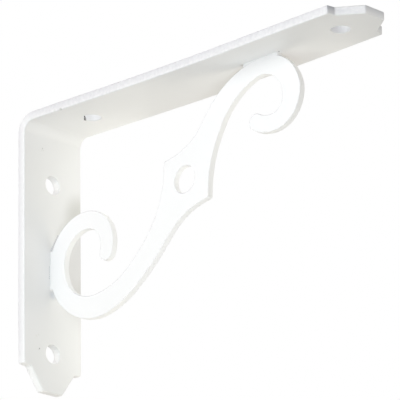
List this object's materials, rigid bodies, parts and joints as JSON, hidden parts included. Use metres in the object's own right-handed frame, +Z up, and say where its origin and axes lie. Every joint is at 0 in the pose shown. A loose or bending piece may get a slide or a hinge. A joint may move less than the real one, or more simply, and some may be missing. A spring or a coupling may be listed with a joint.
{
  "type": "decorative shelf bracket",
  "caption": "White steel shelf bracket: a flat strap bent into a right angle with stepped, tapered ends and screw holes, braced by a welded S scroll with a pointed, pierced middle.",
  "frame": {"origin": "on the back face of the upright leg, on the centre line, midway between its two screw holes, where the bracket meets the wall", "axes": "+X out from the wall along the arm, +Z up, Y along the wall"},
  "size_m": [0.125, 0.022, 0.08],
  "materials": {
    "white_powder_coat": "satin white powder coat on mild steel, with softly rounded edges"
  },
  "bodies": {
    "root": {"angle_strap": "white_powder_coat", "scroll_brace": "white_powder_coat"}
  },
  "joints": []
}
